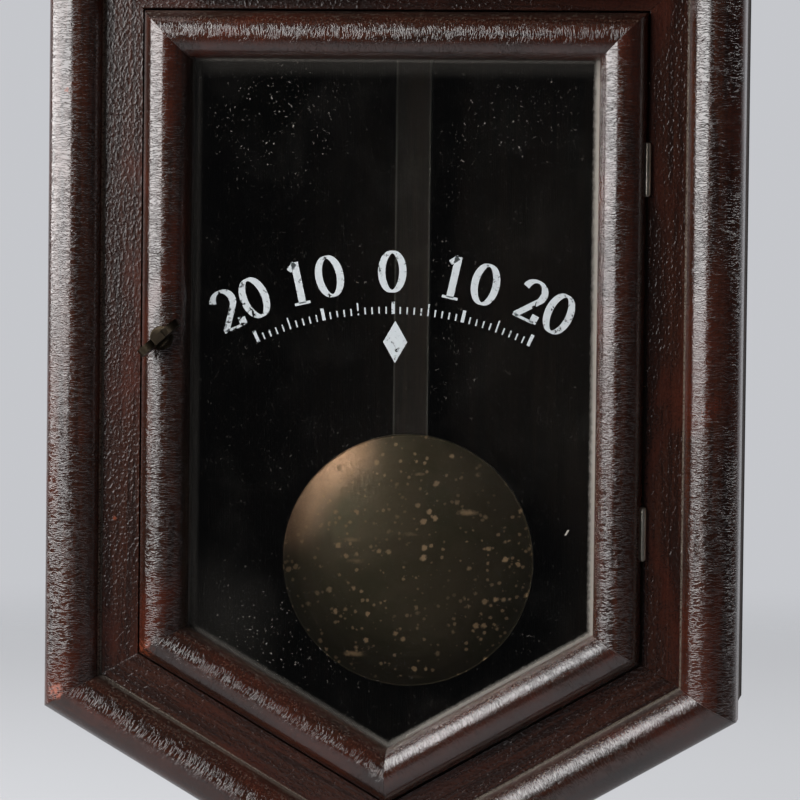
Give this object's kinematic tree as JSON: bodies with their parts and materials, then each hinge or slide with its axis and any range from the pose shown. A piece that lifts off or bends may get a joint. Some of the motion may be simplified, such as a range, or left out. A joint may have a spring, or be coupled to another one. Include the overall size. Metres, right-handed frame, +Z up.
{
  "type": "wall clock",
  "caption": "long-drop eight-sided wall clock with pendulum, glazed door, hinged dial glass and working spring movement",
  "frame": {"origin": "centre of the hanging hole, in the plane of the wall that the back board lies against", "axes": "+X to the right seen from the front, -Y out from the wall towards the viewer, +Z up; metres"},
  "size_m": [0.432, 0.1265, 0.8243],
  "materials": {
    "wood_box": "stained softwood, matt",
    "wood_flat": "dark veneer under crazed varnish",
    "wood_moulding": "half-round moulding under wrinkled glossy varnish",
    "wood_door": "half-round door member under wrinkled glossy varnish",
    "wood_rod": "varnished straight-grained rod",
    "glass": "old sheet glass",
    "brass_bright": "spun brass, lightly aged",
    "brass_aged": "aged brass",
    "brass_bob": "darkened spun brass",
    "brass_movement": "stamped brass",
    "steel_dark": "blackened steel",
    "steel_bright": "turned steel",
    "steel_spring": "tempered spring steel",
    "dial_paint": "aged off-white paint on sheet metal"
  },
  "bodies": {
    "case": {"back_board": "wood_box", "hanger_plate": "brass_aged", "hanger_screws": "steel_dark", "case_sides": "wood_box", "case_bottom_boards": "wood_box", "case_head_boards": "wood_box", "front_stile_left": "wood_flat", "front_stile_right": "wood_flat", "front_rails_lower": "wood_flat", "front_rail_top": "wood_flat", "edge_mouldings_side": "wood_moulding", "edge_mouldings_lower": "wood_moulding", "head_frame": "wood_flat", "head_moulding": "wood_moulding", "case_hinge_leaves": "brass_aged", "hinge_pins": "brass_aged", "turn_keeper": "brass_aged", "dial_pan": "dial_paint", "brass_screws": "brass_aged", "bezel_hinge_bracket": "brass_aged", "bezel_catch": "brass_aged", "movement_posts": "brass_movement", "back_plate": "brass_movement", "front_plate": "brass_movement", "plate_pillars": "brass_movement", "pillar_nuts": "steel_bright", "mainspring": "steel_spring", "verge_cock": "brass_movement"},
    "door": {"door_stile_left": "wood_door", "door_stile_right": "wood_door", "door_rail_top": "wood_door", "door_rails_lower": "wood_door", "door_glass": "glass", "door_glass_beads": "wood_door", "door_hinge_leaves": "brass_aged", "turn_collar": "brass_aged"},
    "turn": {"turn_thumb_piece": "steel_dark", "turn_tongue": "brass_aged"},
    "bezel": {"bezel_ring": "brass_bright", "bezel_glass": "glass"},
    "escape_arbor": {"escape_wheel": "brass_movement"},
    "third_arbor": {"third_wheel": "brass_movement"},
    "centre_arbor_set": {"centre_arbor": "steel_bright", "centre_wheel": "brass_movement", "cannon_pinion": "steel_bright", "minute_hand": "steel_dark", "hand_nut": "brass_aged"},
    "minute_arbor": {"minute_wheel": "brass_movement"},
    "hour_set": {"hour_wheel": "brass_movement", "hour_hand": "steel_dark"},
    "great_arbor": {"great_wheel": "brass_movement"},
    "winding_set": {"winding_arbor": "steel_bright"},
    "click_arm": {"click": "steel_bright"},
    "verge_arbor": {"verge": "steel_bright"},
    "pendulum": {"suspension_spring": "steel_spring", "rod_cap": "brass_aged", "pendulum_rod": "wood_rod", "rating_stem": "brass_aged"},
    "bob": {"pendulum_bob": "brass_bob"},
    "nut": {"rating_nut": "brass_aged"}
  },
  "joints": [
    {"name": "door_swing", "type": "hinge", "parent": "case", "child": "door", "pos_m": [0.1082, -0.0972, -0.5521], "axis": [0, 0, 1], "range_deg": [0, 110]},
    {"name": "latch_turn", "type": "hinge", "parent": "door", "child": "turn", "pos_m": [-0.09765, -0.1, -0.5488], "axis": [0, -1, 0], "range_deg": [0, 90]},
    {"name": "bezel_swing", "type": "hinge", "parent": "case", "child": "bezel", "pos_m": [0.1691, -0.1126, -0.186], "axis": [0, 0, 1], "range_deg": [0, 110]},
    {"name": "escape_turn", "type": "hinge", "parent": "case", "child": "escape_arbor", "pos_m": [0, -0.057, -0.1272], "axis": [0, 1, 0], "continuous": true},
    {"name": "third_turn", "type": "hinge", "parent": "case", "child": "third_arbor", "pos_m": [-0.007, -0.065, -0.15436], "axis": [0, 1, 0], "continuous": true},
    {"name": "centre_turn", "type": "hinge", "parent": "case", "child": "centre_arbor_set", "pos_m": [0, -0.08, -0.186], "axis": [0, 1, 0], "continuous": true},
    {"name": "minute_wheel_turn", "type": "hinge", "parent": "case", "child": "minute_arbor", "pos_m": [0.01573, -0.091, -0.19701], "axis": [0, 1, 0], "continuous": true},
    {"name": "hour_turn", "type": "hinge", "parent": "case", "child": "hour_set", "pos_m": [0, -0.094, -0.186], "axis": [0, 1, 0], "continuous": true},
    {"name": "great_turn", "type": "hinge", "parent": "case", "child": "great_arbor", "pos_m": [0, -0.0735, -0.2328], "axis": [0, 1, 0], "continuous": true},
    {"name": "winding_turn", "type": "hinge", "parent": "great_arbor", "child": "winding_set", "pos_m": [0, -0.076, -0.2328], "axis": [0, 1, 0], "continuous": true},
    {"name": "click_lift", "type": "hinge", "parent": "great_arbor", "child": "click_arm", "pos_m": [-0.01689, -0.076, -0.22305], "axis": [0, -1, 0], "range_deg": [0, 8], "stiffness_Nm_per_rad": 0.01, "springref_deg": -5.73},
    {"name": "pendulum_swing", "type": "hinge", "parent": "case", "child": "pendulum", "pos_m": [0, -0.025, -0.1], "axis": [0, 1, 0], "range_deg": [-4, 4]},
    {"name": "verge_rock", "type": "hinge", "parent": "case", "child": "verge_arbor", "pos_m": [0, -0.057, -0.1], "axis": [0, 1, 0], "range_deg": [-4, 4]},
    {"name": "bob_slide", "type": "slide", "parent": "pendulum", "child": "bob", "axis": [0, 0, 1], "range_m": [-0.0028, 0.0028]},
    {"name": "nut_turn", "type": "hinge", "parent": "bob", "child": "nut", "pos_m": [0, -0.025, -0.6752], "axis": [0, 0, 1], "range_deg": [-1445, 1445]}
  ],
  "couplings": [
    {"joint": "third_turn", "follows": "escape_turn", "ratio": -0.13793},
    {"joint": "centre_turn", "follows": "escape_turn", "ratio": 0.017241},
    {"joint": "minute_wheel_turn", "follows": "escape_turn", "ratio": -0.0057471},
    {"joint": "hour_turn", "follows": "escape_turn", "ratio": 0.0014368},
    {"joint": "great_turn", "follows": "escape_turn", "ratio": -0.0014368},
    {"joint": "verge_rock", "follows": "pendulum_swing", "ratio": 1},
    {"joint": "nut_turn", "follows": "bob_slide", "rad_per_m": 8976}
  ]
}
